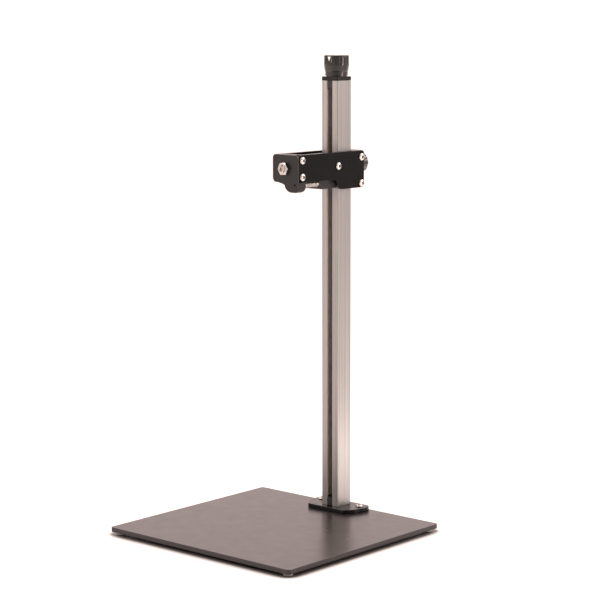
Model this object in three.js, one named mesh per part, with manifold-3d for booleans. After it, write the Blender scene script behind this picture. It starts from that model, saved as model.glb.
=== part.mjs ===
// Bench stand: a heavy base plate, a slotted square column with a lead screw inside it, and a carriage that the
// lead screw raises and lowers. The carriage reaches forward as an arm and carries an instrument on a stud.
//
// Units are millimetres, +Z is up and the arm points towards -Y. The origin is on the floor, in the middle of the
// stand's overall footprint.

import * as THREE from 'three';
import { mergeVertices } from 'three/addons/utils/BufferGeometryUtils.js';
import Module from 'manifold-3d';

// ---------------------------------------------------------------- driving dimensions

const contactGap = 0.25; // between two pieces that rest on each other

// Base plate and its feet
const plateWidth = 350;
const plateDepth = 330;
const plateThickness = 7;
const plateCorner = 5;
const footRadius = 7;
const footHeight = 4;
const footInset = 12;

// Column
const columnWidth = 31;
const columnWall = 2.5;
const columnCorner = 1;
const columnLength = 638;
const columnBackGap = 10.5; // from the column's back face to the plate's back edge
const slotWidth = 10;
const portOffset = 10.6; // screw ports in the column's four inner corners
const portRadius = 3.1;
const portBore = 2.2;

// Flange under the column: a disc with flats at the front and the back
const flangeThickness = 6;
const flangeRadius = 49;
const flangeCentreY = 10;
const flangeFlat = 25;
const flangeScrewX = 37;
const flangeScrewY = 10;

// Lead screw
const screwRadius = 5;
const lowerJournal = 3.1;
const upperJournal = 4;
const plugHeight = 12;
const upperPlugHeight = 10;

// Column head
const capWidth = 31.2;
const capThickness = 6;
const housingRadius = 16.8;
const housingHeight = 7.7;
const housingNeck = 15.3; // groove between the housing and the cap
const bearingRadius = 8;
const bearingHeight = 5;

// Top knob
const knobRadius = 18.6;
const knobFootRadius = 17.2;
const knobHeight = 23;
const knobFlutes = 10;
const knobFluteRadius = 2.9;
const knobFluteReach = 19.6; // from the knob's axis to a flute's
const knobFluteLength = 14.5;
const knobLandAngle = 5; // degrees from the front (-Y) to the land that carries the index mark

// Carriage, measured from the column's axis and the arm's centre line
const armHeight = 532; // the arm's centre line above the floor
const armHalfWidth = 23.5;
const armHalfHeight = 20;
const sideThickness = 6;
const sideFront = -109.2;
const sideBack = 36;
const skirtDepth = 35; // how far the carriage's rear part reaches below the centre line
const skirtFront = -15;
const blockFront = -114.5;
const blockBack = -95;
const blockLip = 5; // depth of the front block's full-width face
const bossX = 13; // boss under the front block, which holds the spring rod
const bossZ = -24;
const bossBottom = -34;
const bossCentre = 12; // middle of the boss's round lower left edge
const bossRadius = 13.5;
const bossHeel = 9; // radius of the boss's lower rear edge
const frontScrewY = -103.2;
const frontScrewZ = 12;
const middleScrewY = -23.6;
const middleScrewZ = -0.3;
const rearScrewY = 29.2;
const rearScrewTop = 10.3;
const rearScrewBottom = -28.6;

// Button-head screws of the carriage and the flange
const headRadius = 5.5;
const headHeight = 3.3;
const shankRadius = 3;
const screwHole = 3.4;
const sideShank = 14.5;

// Mounting stud and nut
const studRadius = 4.9;
const nutAcrossFlats = 17;
const nutThickness = 5;

// Brake
const shoeHalfWidth = 16.6;
const shoeFront = -58;
const shoeTop = -14.3;
const shoeBottom = -33;
const liningThickness = 2;
const rodRadius = 2.8;
const springRadius = 4.4;

// Rear clamp
const clampKnobRadius = 16.5;
const clampKnobFront = 40.5;
const clampKnobBack = 55.5;
const clampScrewRadius = 3.9;
const clampFlutes = 10;

// ---------------------------------------------------------------- derived places

const plateTop = footHeight + plateThickness;
const flangeTop = plateTop + flangeThickness;
const columnTop = flangeTop + columnLength;
const capTop = columnTop + capThickness;
const housingTop = capTop + housingHeight;
const knobBottom = housingTop + 0.3;
const knobTop = knobBottom + knobHeight;
const halfColumn = columnWidth / 2;
const cavity = halfColumn - columnWall;
const plateBack = halfColumn + columnBackGap; // in column coordinates
const plateCentreY = plateBack - plateDepth / 2;
const plateFront = plateBack - plateDepth;
const columnY = -(plateFront + clampKnobBack) / 2; // centres the overall footprint on the origin
const sideInner = armHalfWidth - sideThickness;
const innerHalf = sideInner - 0.3; // half width of what sits between the side plates

// ---------------------------------------------------------------- booleans

const wasm = await Module();
wasm.setup();

function toSolid(geometry) {
  const bare = geometry.clone();
  bare.deleteAttribute('normal');
  bare.deleteAttribute('uv');
  const merged = mergeVertices(bare, 1e-4);
  const vertProperties = new Float32Array(merged.attributes.position.array);
  const triVerts = new Uint32Array(merged.index.array);
  return new wasm.Manifold(new wasm.Mesh({ numProp: 3, vertProperties, triVerts }));
}

function toGeometry(solid) {
  const mesh = solid.getMesh();
  const geometry = new THREE.BufferGeometry();
  geometry.setAttribute('position', new THREE.BufferAttribute(new Float32Array(mesh.vertProperties), 3));
  geometry.setIndex(new THREE.BufferAttribute(new Uint32Array(mesh.triVerts), 1));
  geometry.computeVertexNormals();
  return geometry;
}

function cut(body, ...tools) {
  return toGeometry(tools.reduce((solid, tool) => solid.subtract(toSolid(tool)), toSolid(body)));
}

function join(...bodies) {
  return toGeometry(bodies.map(toSolid).reduce((sum, solid) => sum.add(solid)));
}

// ---------------------------------------------------------------- plain shapes

// A box between two corners.
function block(x0, x1, y0, y1, z0, z1) {
  const geometry = new THREE.BoxGeometry(x1 - x0, y1 - y0, z1 - z0);
  return geometry.translate((x0 + x1) / 2, (y0 + y1) / 2, (z0 + z1) / 2);
}

// Turns a shape built along +Z so that its length runs along another axis.
function along(axis, geometry) {
  const frames = {
    x: [[0, 1, 0], [0, 0, 1], [1, 0, 0]], // drawn in Y and Z
    y: [[0, 0, 1], [1, 0, 0], [0, 1, 0]], // drawn in Z and X
    z: [[1, 0, 0], [0, 1, 0], [0, 0, 1]], // drawn in X and Y
  };
  const basis = frames[axis].map((direction) => new THREE.Vector3(...direction));
  return geometry.applyMatrix4(new THREE.Matrix4().makeBasis(...basis));
}

// A round bar from one place to another along an axis; u and v are its centre on the axes that `along` names.
function bar(axis, radius, from, to, u = 0, v = 0, sides = 16) {
  const geometry = new THREE.CylinderGeometry(radius, radius, to - from, sides);
  geometry.rotateX(Math.PI / 2).translate(u, v, (from + to) / 2);
  return along(axis, geometry);
}

// An outline with rounded corners; each corner is [u, v] or [u, v, radius], listed anticlockwise.
function outline(corners) {
  const shape = new THREE.Shape();
  corners.forEach(([u, v, radius = 0], i) => {
    const here = new THREE.Vector2(u, v);
    if (radius === 0) {
      if (i === 0) shape.moveTo(u, v);
      else shape.lineTo(u, v);
      return;
    }
    const last = corners[(i + corners.length - 1) % corners.length];
    const next = corners[(i + 1) % corners.length];
    const back = new THREE.Vector2(last[0], last[1]).sub(here).normalize();
    const ahead = new THREE.Vector2(next[0], next[1]).sub(here).normalize();
    const half = Math.acos(back.dot(ahead)) / 2;
    const middle = back.clone().add(ahead).normalize();
    const centre = here.clone().addScaledVector(middle, radius / Math.sin(half));
    const start = here.clone().addScaledVector(back, radius / Math.tan(half)).sub(centre);
    const end = here.clone().addScaledVector(ahead, radius / Math.tan(half)).sub(centre);
    const clockwise = back.cross(ahead) > 0;
    if (i === 0) shape.moveTo(centre.x + start.x, centre.y + start.y);
    shape.absarc(centre.x, centre.y, radius, start.angle(), end.angle(), clockwise);
  });
  return shape;
}

// A shape drawn across an axis and carried along it.
function prism(axis, shape, from, to, curveSegments = 5) {
  const settings = { depth: to - from, bevelEnabled: false, curveSegments };
  return along(axis, new THREE.ExtrudeGeometry(shape, settings).translate(0, 0, from));
}

// A turned shape about Z from [radius, height] points.
function turned(profile, sides = 16) {
  const points = profile.map(([radius, height]) => new THREE.Vector2(radius, height));
  return new THREE.LatheGeometry(points, sides).rotateX(Math.PI / 2);
}

function ring(outer, inner, bottom, top, sides = 20) {
  return turned([[inner, bottom], [outer, bottom], [outer, top], [inner, top], [inner, bottom]], sides);
}

// ---------------------------------------------------------------- finishes

const finish = {
  powderCoat: { color: 0x2b2727, roughness: 0.42, metalness: 0.1 },
  blackAnodised: { color: 0x1c1b1b, roughness: 0.38, metalness: 0.4 },
  silverAnodised: { color: 0xb9b4af, roughness: 0.42, metalness: 0.85 },
  steel: { color: 0xc9c6c2, roughness: 0.28, metalness: 1 },
  brass: { color: 0xb9974f, roughness: 0.35, metalness: 1 },
  blackPlastic: { color: 0x222021, roughness: 0.5, metalness: 0 },
  palePlastic: { color: 0xd8d4c8, roughness: 0.55, metalness: 0 },
  rubber: { color: 0x6d6a68, roughness: 0.85, metalness: 0 },
  whitePaint: { color: 0xe8e6e2, roughness: 0.5, metalness: 0 },
};

function piece(group, name, geometry, look) {
  const mesh = new THREE.Mesh(geometry, new THREE.MeshStandardMaterial(look));
  mesh.name = name;
  group.add(mesh);
  return mesh;
}

// ---------------------------------------------------------------- fasteners

function hexSocket(acrossFlats, depth, top) {
  const socket = new THREE.CylinderGeometry(acrossFlats / Math.sqrt(3), acrossFlats / Math.sqrt(3), depth + 1, 6);
  return socket.rotateX(Math.PI / 2).translate(0, 0, top + 1 - (depth + 1) / 2);
}

// Domed head above z = 0 with a hex socket, and a plain shank below.
function buttonScrew(shank) {
  const body = turned([
    [0, -shank], [shankRadius, -shank], [shankRadius, contactGap], [headRadius, contactGap],
    [headRadius, 1.1], [4.9, 2.1], [3.7, 2.9], [2.3, headHeight], [0, headHeight],
  ], 14);
  return cut(body, hexSocket(4, 2.2, headHeight));
}

// Small cylinder-head screw, head above z = 0.
function capScrew(radius, head, headTall, shank) {
  const body = turned([
    [0, -shank], [radius, -shank], [radius, 0], [head, 0], [head, headTall], [0, headTall],
  ], 12);
  return cut(body, hexSocket(radius * 1.5, headTall * 0.6, headTall));
}

// ---------------------------------------------------------------- base

function buildBase(stand) {
  const base = new THREE.Group();
  stand.add(base);

  const halfW = plateWidth / 2;
  const plateShape = outline([
    [-halfW, plateFront, plateCorner], [halfW, plateFront, plateCorner],
    [halfW, plateBack, plateCorner], [-halfW, plateBack, plateCorner],
  ]);
  const plate = cut(
    prism('z', plateShape, footHeight, plateTop),
    ...[-1, 1].map((side) => bar('z', screwHole, 0, plateTop + 1, side * flangeScrewX, flangeScrewY)),
  );
  piece(base, 'base_plate', plate, finish.powderCoat);

  const footX = halfW - footInset;
  const footY = plateDepth / 2 - footInset;
  const places = { front_left: [-1, -1], front_right: [1, -1], rear_right: [1, 1], rear_left: [-1, 1] };
  for (const [place, [sideX, sideY]] of Object.entries(places)) {
    const foot = turned([[0, 0], [footRadius - 0.8, 0], [footRadius, 0.8], [footRadius, footHeight - contactGap],
      [0, footHeight - contactGap]], 24);
    const mesh = piece(base, `foot_${place}`, foot, finish.rubber);
    mesh.position.set(sideX * footX, plateCentreY + sideY * footY, 0);
  }

  piece(base, 'column_flange', flangeGeometry(), finish.blackAnodised);
  const screw = buttonScrew(flangeThickness + plateThickness - 0.5);
  for (const [name, side] of [['left', -1], ['right', 1]]) {
    const mesh = piece(base, `flange_screw_${name}`, screw, finish.steel);
    mesh.position.set(side * flangeScrewX, flangeScrewY, flangeTop);
  }
}

// The flange's outline: an arc on each side, a flat front and a flat back with rounded back corners.
function flangeGeometry() {
  const backCorner = 10;
  const roundY = flangeFlat - backCorner;
  const roundX = Math.sqrt((flangeRadius - backCorner) ** 2 - (roundY - flangeCentreY) ** 2);
  const frontAngle = Math.asin((-flangeFlat - flangeCentreY) / flangeRadius);
  const joinAngle = Math.atan2(roundY - flangeCentreY, roundX);
  const shape = new THREE.Shape();
  shape.absarc(0, flangeCentreY, flangeRadius, frontAngle, joinAngle, false);
  shape.absarc(roundX, roundY, backCorner, joinAngle, Math.PI / 2, false);
  shape.absarc(-roundX, roundY, backCorner, Math.PI / 2, Math.PI - joinAngle, false);
  shape.absarc(0, flangeCentreY, flangeRadius, Math.PI - joinAngle, Math.PI - frontAngle, false);

  const bottom = plateTop + contactGap;
  const tools = [-1, 1].map((side) => (
    bar('z', screwHole, plateTop - 1, flangeTop + 1, side * flangeScrewX, flangeScrewY)));
  for (const [x, y] of portPlaces()) {
    tools.push(bar('z', 2.5, plateTop - 1, flangeTop + 1, x, y, 12));
    tools.push(bar('z', 4.1, plateTop - 1, bottom + 3.4, x, y, 12));
  }
  return cut(prism('z', shape, bottom, flangeTop, 9), ...tools);
}

function portPlaces() {
  return [[-1, -1], [1, -1], [1, 1], [-1, 1]].map(([a, b]) => [a * portOffset, b * portOffset]);
}

// ---------------------------------------------------------------- column

function buildColumn(stand) {
  const column = new THREE.Group();
  stand.add(column);

  const bottom = flangeTop + contactGap;
  const h = halfColumn;
  const skin = prism('z', outline([
    [-h, -h, columnCorner], [h, -h, columnCorner], [h, h, columnCorner], [-h, h, columnCorner],
  ]), bottom, columnTop, 2);
  const hollow = cut(skin, block(-cavity, cavity, -cavity, cavity, 0, columnTop + 1));
  const ports = portPlaces().map(([x, y]) => bar('z', portRadius, bottom, columnTop, x, y, 12));
  const bores = portPlaces().map(([x, y]) => bar('z', portBore, 0, columnTop + 1, x, y, 8));
  const slot = block(-slotWidth / 2, slotWidth / 2, -h - 1, -cavity + 1, 0, columnTop + 1);
  piece(column, 'column', cut(join(hollow, ...ports), slot, ...bores), finish.silverAnodised);

  const screw = capScrew(1.9, 3.6, 2.6, 20);
  const names = ['front_left', 'front_right', 'rear_right', 'rear_left'];
  portPlaces().forEach(([x, y], i) => {
    const mesh = piece(column, `column_screw_${names[i]}`, screw, finish.steel);
    mesh.rotation.x = Math.PI; // driven upwards through the flange
    mesh.position.set(x, y, plateTop + contactGap + 3.1);
  });

  piece(column, 'lower_plug', plugGeometry(bottom + contactGap, bottom + plugHeight, 5), finish.blackPlastic);
  piece(column, 'lower_bush', ring(4.7, lowerJournal + 0.2, bottom + contactGap, bottom + plugHeight), finish.brass);
  const upperBottom = columnTop - upperPlugHeight;
  piece(column, 'upper_plug', plugGeometry(upperBottom, columnTop, upperJournal + 0.8), finish.blackPlastic);
}

// A moulded plug that fills the column's cavity and its slot, with notches for the screw ports.
function plugGeometry(bottom, top, bore) {
  const half = cavity - 0.3;
  const body = block(-half, half, -half, half, bottom, top);
  const tongue = block(-slotWidth / 2 + 0.3, slotWidth / 2 - 0.3, -halfColumn + 0.3, -half + 1, bottom, top);
  const notches = portPlaces().map(([x, y]) => (
    block(Math.sign(x) * portOffset - 3.6, Math.sign(x) * portOffset + 3.6,
      Math.sign(y) * portOffset - 3.6, Math.sign(y) * portOffset + 3.6, bottom - 1, top + 1)));
  return cut(join(body, tongue), ...notches, bar('z', bore, bottom - 1, top + 1));
}

// ---------------------------------------------------------------- column head

function buildHead(stand) {
  const head = new THREE.Group();
  stand.add(head);

  const half = capWidth / 2;
  const capShape = outline([[-half, -half, 1.5], [half, -half, 1.5], [half, half, 1.5], [-half, half, 1.5]]);
  const screwPlaces = portPlaces().slice(2);
  const recesses = screwPlaces.flatMap(([x, y]) => [
    bar('z', 2.5, columnTop - 1, capTop + 1, x, y, 12), bar('z', 4.1, capTop - 3.2, capTop + 1, x, y, 12)]);
  const cap = cut(prism('z', capShape, columnTop + contactGap, capTop, 2), bar('z', 6, columnTop - 1, capTop + 1),
    ...recesses);
  piece(head, 'top_cap', cap, finish.blackAnodised);
  const screw = capScrew(1.9, 3.6, 2.6, 16);
  screwPlaces.forEach(([x, y], i) => {
    const mesh = piece(head, `cap_screw_${['right', 'left'][i]}`, screw, finish.steel);
    mesh.position.set(x, y, capTop - 2.9);
  });

  const housingBottom = capTop + contactGap;
  const housing = cut(
    turned([[0, housingBottom], [housingNeck, housingBottom], [housingNeck, housingBottom + 1],
      [housingRadius, housingBottom + 1], [housingRadius, housingTop], [0, housingTop]], 32),
    bar('z', upperJournal + 0.8, 0, housingTop + 1),
    bar('z', bearingRadius + 0.3, 0, housingBottom + bearingHeight + 0.3, 0, 0, 20),
  );
  piece(head, 'bearing_housing', housing, finish.blackAnodised);
  piece(head, 'upper_bearing',
    ring(bearingRadius, upperJournal + 0.2, housingBottom, housingBottom + bearingHeight), finish.steel);

  const shaft = turned([
    [0, flangeTop + 1], [lowerJournal, flangeTop + 1], [lowerJournal, flangeTop + plugHeight + 1],
    [screwRadius, flangeTop + plugHeight + 2], [screwRadius, columnTop - upperPlugHeight - 2],
    [upperJournal, columnTop - upperPlugHeight - 1], [upperJournal, knobTop - 5], [0, knobTop - 5],
  ], 20);
  piece(head, 'lead_screw', shaft, finish.steel);
  buildTopKnob(head);
}

function buildTopKnob(head) {
  const setScrewHeight = knobBottom + 5;
  const body = turned([
    [0, knobBottom], [knobFootRadius - 0.6, knobBottom], [knobFootRadius, knobBottom + 0.6],
    [knobRadius, knobTop - knobFluteLength], [knobRadius, knobTop - 0.8], [knobRadius - 0.8, knobTop],
    [0, knobTop],
  ], 40);
  const flutes = [];
  for (let i = 0; i < knobFlutes; i += 1) {
    const angle = THREE.MathUtils.degToRad(knobLandAngle + (i + 0.5) * 360 / knobFlutes);
    const flute = bar('z', knobFluteRadius, knobTop - knobFluteLength, knobTop + 1, 0, -knobFluteReach, 10);
    flutes.push(flute.rotateZ(angle));
  }
  const bore = bar('z', upperJournal + 0.25, 0, knobTop - 4.5);
  const setHole = bar('y', 2.8, 2, knobRadius + 1, setScrewHeight, 0, 12);
  piece(head, 'top_knob', cut(body, ...flutes, bore, setHole), finish.blackPlastic);

  const setScrew = cut(bar('z', 2.4, -8.5, 0, 0, 0, 12), hexSocket(2.5, 3, 0));
  const setMesh = piece(head, 'knob_set_screw', setScrew, finish.steel);
  setMesh.rotation.x = -Math.PI / 2; // its socket faces the back
  setMesh.position.set(0, 13.5, setScrewHeight);

  const mark = prism('z', outline([[0, -3.2], [2.7, 2.8], [-2.7, 2.8]]), 0, 0.6);
  const markMesh = piece(head, 'knob_index_mark', mark, finish.whitePaint);
  const markAngle = THREE.MathUtils.degToRad(knobLandAngle);
  markMesh.rotation.set(Math.PI / 2, 0, markAngle, 'ZYX');
  markMesh.position.set(
    (knobRadius + 0.3) * Math.sin(markAngle), -(knobRadius + 0.3) * Math.cos(markAngle), knobTop - 4.9);
}

// ---------------------------------------------------------------- carriage

function buildCarriage(stand) {
  const carriage = new THREE.Group();
  carriage.position.z = armHeight;
  stand.add(carriage);

  buildSidePlates(carriage);
  buildFrontBlock(carriage);
  buildGuides(carriage);
  buildBrake(carriage);
  buildClamp(carriage);
}

const sideScrews = {
  front_upper: [frontScrewY, frontScrewZ],
  front_lower: [frontScrewY, -frontScrewZ],
  middle: [middleScrewY, middleScrewZ],
  rear_upper: [rearScrewY, rearScrewTop],
  rear_lower: [rearScrewY, rearScrewBottom],
};

function buildSidePlates(carriage) {
  const step = skirtDepth - armHalfHeight;
  const shape = outline([
    [sideFront, -armHalfHeight, 7], [skirtFront - step, -armHalfHeight, 2], [skirtFront, -skirtDepth, 3],
    [sideBack, -skirtDepth, 5], [sideBack, armHalfHeight, 5], [sideFront, armHalfHeight, 7],
  ]);
  const screw = buttonScrew(sideShank);
  for (const [name, side] of [['left', -1], ['right', 1]]) {
    const [from, to] = side > 0 ? [sideInner, armHalfWidth] : [-armHalfWidth, -sideInner];
    const holes = Object.values(sideScrews).map(([y, z]) => bar('x', screwHole, from - 1, to + 1, y, z, 14));
    piece(carriage, `side_plate_${name}`, cut(prism('x', shape, from, to, 4), ...holes), finish.blackAnodised);
    for (const [place, [y, z]] of Object.entries(sideScrews)) {
      const mesh = piece(carriage, `side_screw_${name}_${place}`, screw, finish.steel);
      mesh.rotation.y = side * Math.PI / 2;
      mesh.position.set(side * armHalfWidth, y, z);
    }
  }
}

// Holes for the shanks of the side screws, from both sides of a piece between the plates.
function sideHoles(...names) {
  return names.flatMap((name) => {
    const [y, z] = sideScrews[name];
    return [bar('x', screwHole, 8, 40, y, z, 14), bar('x', screwHole, -40, -8, y, z, 14)];
  });
}

// The face of the front block, drawn in Z and X: a rectangle with a boss hanging under its right half.
function frontFace(halfWidth) {
  const h = armHalfHeight;
  const rightCorner = halfWidth > innerHalf ? 3.5 : 0;
  const top = halfWidth > innerHalf ? 5 : 1;
  const lower = halfWidth > innerHalf ? 6.5 : 1;
  const shape = new THREE.Shape();
  shape.moveTo(h - top, -halfWidth);
  shape.absarc(h - top, -halfWidth + top, top, -Math.PI / 2, 0, false);
  shape.lineTo(h, halfWidth - top);
  shape.absarc(h - top, halfWidth - top, top, 0, Math.PI / 2, false);
  shape.lineTo(bossBottom + rightCorner, halfWidth);
  if (rightCorner > 0) {
    shape.absarc(bossBottom + rightCorner, halfWidth - rightCorner, rightCorner, Math.PI / 2, Math.PI, false);
  }
  shape.lineTo(bossBottom, bossCentre);
  shape.absarc(bossBottom + bossRadius, bossCentre, bossRadius, Math.PI, Math.PI * 1.42, false);
  shape.quadraticCurveTo(-h - 1.6, bossCentre - bossRadius - 2.5, -h, -14);
  shape.lineTo(-h, -halfWidth + lower);
  shape.absarc(-h + lower, -halfWidth + lower, lower, -Math.PI, -Math.PI / 2, false);
  return shape;
}

function buildFrontBlock(carriage) {
  const face = prism('y', frontFace(armHalfWidth), blockFront, blockFront + blockLip);
  const core = prism('y', frontFace(innerHalf), blockFront + 1, blockBack);
  const bossSide = block(innerHalf - 2, armHalfWidth, blockFront + 1, blockBack, bossBottom + 3.5, -armHalfHeight - 0.3);
  const bossFloor = block(innerHalf - 2, armHalfWidth - 3.5, blockFront + 1, blockBack, bossBottom, -armHalfHeight - 2);
  const heel = [blockBack - bossHeel, bossBottom + bossHeel];
  const heelCorner = block(-armHalfWidth - 1, armHalfWidth + 1, heel[0], blockBack + 1, bossBottom - 1, heel[1]);
  const solid = cut(
    join(face, core, bossSide, bossFloor),
    cut(heelCorner, bar('x', bossHeel, -armHalfWidth - 2, armHalfWidth + 2, ...heel, 24)),
    bar('y', studRadius + 0.3, blockFront - 1, blockBack + 1),
    bar('y', rodRadius + 0.3, blockFront + 6.7, blockBack + 1, bossZ, bossX),
    bar('y', 1.5, blockFront - 1, blockFront + 6, -23, 19, 12),
    ...sideHoles('front_upper', 'front_lower'),
  );
  piece(carriage, 'front_block', solid, finish.blackAnodised);

  const nutFront = blockFront - contactGap - nutThickness;
  piece(carriage, 'mounting_stud', bar('y', studRadius, nutFront + 0.6, blockBack - 2), finish.steel);
  const nut = bar('z', nutAcrossFlats / Math.sqrt(3), nutFront, blockFront - contactGap, 0, 0, 6);
  const nutBody = along('y', nut);
  piece(carriage, 'mounting_nut', cut(nutBody, bar('y', studRadius + 0.3, -200, 0)), finish.steel);
}

function buildGuides(carriage) {
  const guideBack = -halfColumn - 0.35;
  const guide = cut(
    block(-innerHalf, innerHalf, -40, guideBack, -12, 17),
    block(-4.9, 4.9, -22.6, 0, -10.4, 10.4),
    bar('y', 2.9, -50, 0, 0, 0, 12),
    bar('y', 5, -50, -34.5),
    ...sideHoles('middle'),
  );
  piece(carriage, 'front_guide_block', guide, finish.blackAnodised);

  const nut = cut(
    join(bar('z', 9.3, -12, 12, 0, 0, 20), block(-4.6, 4.6, -22.3, -6, -10, 10)),
    bar('z', screwRadius + 0.35, -13, 13, 0, 0, 20),
    bar('y', 2.8, -23, -10.5, 0, 0, 12),
  );
  piece(carriage, 'lead_nut', nut, finish.brass);
  const nutScrew = piece(carriage, 'nut_screw', capScrew(2.45, 4.2, 4.4, 22.5), finish.steel);
  nutScrew.rotation.x = Math.PI / 2; // its head faces the front
  nutScrew.position.set(0, -34.7, 0);

  const padFrom = halfColumn + contactGap;
  const padTo = sideInner - contactGap;
  for (const [name, side] of [['left', -1], ['right', 1]]) {
    for (const [level, low, high] of [['upper', 6, 17], ['lower', -32, -18]]) {
      const [x0, x1] = side > 0 ? [padFrom, padTo] : [-padTo, -padFrom];
      piece(carriage, `side_pad_${name}_${level}`, block(x0, x1, -12, 12, low, high), finish.palePlastic);
    }
  }
  for (const [level, low, high] of [['upper', 8.5, 18], ['lower', -33, -10]]) {
    piece(carriage, `rear_pad_${level}`, block(-12, 12, padFrom, 17.35, low, high), finish.palePlastic);
  }

  const rear = cut(
    block(-innerHalf, innerHalf, 17.6, sideBack, -skirtDepth, armHalfHeight),
    bar('y', clampScrewRadius + 0.35, 0, 60),
    bar('y', 6.6, 0, 21, 0, 0, 20),
    ...sideHoles('rear_upper', 'rear_lower'),
  );
  piece(carriage, 'rear_block', rear, finish.blackAnodised);
}

// ---------------------------------------------------------------- brake

function buildBrake(carriage) {
  const shoeBack = -halfColumn - 0.3 - liningThickness - contactGap;
  const shape = outline([
    [shoeFront, shoeBottom, 5], [shoeBack, shoeBottom], [shoeBack, shoeTop], [shoeFront, shoeTop, 2],
  ]);
  const shoe = cut(
    prism('x', shape, -shoeHalfWidth, shoeHalfWidth),
    bar('y', rodRadius + 0.4, shoeFront - 1, shoeFront + 20, bossZ, bossX),
  );
  piece(carriage, 'brake_shoe', shoe, finish.blackAnodised);

  const liningBack = -halfColumn - 0.3;
  for (const [name, x0, x1] of [['left', -14, -5.6], ['right', 5.6, 14]]) {
    const lining = block(x0, x1, liningBack - liningThickness, liningBack, shoeBottom + 1.5, shoeTop - 1.5);
    piece(carriage, `brake_lining_${name}`, lining, finish.palePlastic);
  }

  piece(carriage, 'spring_rod', bar('y', rodRadius, blockFront + 7, shoeFront + 13, bossZ, bossX), finish.steel);
  const spring = ring(springRadius, rodRadius + 0.4, blockBack + 0.3, shoeFront - 0.3, 16);
  piece(carriage, 'brake_spring', along('y', spring.translate(bossZ, bossX, 0)), finish.steel);
}

// ---------------------------------------------------------------- rear clamp

function buildClamp(carriage) {
  piece(carriage, 'clamp_pad', bar('y', 6, halfColumn + 0.3, 17.7, 0, 0, 20), finish.palePlastic);
  piece(carriage, 'clamp_screw', bar('y', clampScrewRadius, 17.95, clampKnobBack - 3), finish.steel);

  const body = along('y', turned([
    [0, clampKnobFront], [9, clampKnobFront], [9, clampKnobFront + 2], [clampKnobRadius - 1, clampKnobFront + 2],
    [clampKnobRadius, clampKnobFront + 3], [clampKnobRadius, clampKnobBack - 1.5],
    [clampKnobRadius - 1.5, clampKnobBack], [0, clampKnobBack],
  ], 40));
  const flutes = [];
  for (let i = 0; i < clampFlutes; i += 1) {
    const angle = i * 2 * Math.PI / clampFlutes;
    const reach = clampKnobRadius + 1;
    flutes.push(bar('y', 2.6, 0, 60, reach * Math.cos(angle), reach * Math.sin(angle), 10));
  }
  const bore = bar('y', clampScrewRadius + 0.25, 0, clampKnobBack - 2.5);
  piece(carriage, 'clamp_knob', cut(body, ...flutes, bore), finish.blackPlastic);
}

// ---------------------------------------------------------------- the stand

const stand = new THREE.Group();
stand.position.y = columnY;
buildBase(stand);
buildColumn(stand);
buildHead(stand);
buildCarriage(stand);

export default stand;
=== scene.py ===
"""Looks of the bench stand: a base plate, a slotted column with a lead screw, and a carriage with an arm.

Shapes are drawn in millimetres and scaled to the frame's metres when a piece is placed. +Z is up and the arm
points towards -Y. Carriage pieces are drawn about the column's axis at the height of the arm's centre line.
"""

import math

import bmesh
import bpy
from mathutils import Matrix, Vector


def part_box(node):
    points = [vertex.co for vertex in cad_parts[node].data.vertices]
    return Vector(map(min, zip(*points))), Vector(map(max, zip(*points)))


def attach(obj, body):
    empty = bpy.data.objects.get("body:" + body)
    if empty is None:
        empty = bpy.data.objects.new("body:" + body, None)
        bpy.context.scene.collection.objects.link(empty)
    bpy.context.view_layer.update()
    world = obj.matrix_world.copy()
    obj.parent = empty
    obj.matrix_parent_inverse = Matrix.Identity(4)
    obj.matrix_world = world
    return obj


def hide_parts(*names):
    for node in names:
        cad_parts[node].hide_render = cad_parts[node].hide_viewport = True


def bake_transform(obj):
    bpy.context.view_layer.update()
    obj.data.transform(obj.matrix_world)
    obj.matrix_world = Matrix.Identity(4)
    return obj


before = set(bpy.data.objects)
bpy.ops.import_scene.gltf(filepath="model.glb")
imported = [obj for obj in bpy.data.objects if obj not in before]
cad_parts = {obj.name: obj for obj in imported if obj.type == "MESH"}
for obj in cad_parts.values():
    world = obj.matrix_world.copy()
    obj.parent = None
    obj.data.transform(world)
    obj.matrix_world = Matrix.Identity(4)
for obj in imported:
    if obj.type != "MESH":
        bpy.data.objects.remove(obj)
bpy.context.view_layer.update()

# ---------------------------------------------------------------- places, in millimetres, from the frame


def box_mm(node):
    low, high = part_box(node)
    return [value * 1000 for value in low], [value * 1000 for value in high]


def middle(node):
    low, high = box_mm(node)
    return [(a + b) / 2 for a, b in zip(low, high)]


def heights(node):
    """A piece's lowest and highest Z."""
    low, high = box_mm(node)
    return low[2], high[2]


def depths(node):
    """A piece's foremost and rearmost Y, measured from the column's axis."""
    low, high = box_mm(node)
    return low[1] - COLUMN_Y, high[1] - COLUMN_Y


PLATE_LOW, PLATE_HIGH = box_mm("base_plate")
FLANGE_BOTTOM, FLANGE_TOP = heights("column_flange")
COLUMN_Y = middle("column")[1]
COLUMN_HALF = box_mm("column")[1][0]
COLUMN_BOTTOM, COLUMN_TOP = heights("column")
ARM_Z = middle("mounting_nut")[2]
KNOB_BOTTOM, KNOB_TOP = heights("top_knob")

ON_COLUMN = (0, COLUMN_Y, 0)
ON_ARM = (0, COLUMN_Y, ARM_Z)

# ---------------------------------------------------------------- driving dimensions, in millimetres

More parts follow.
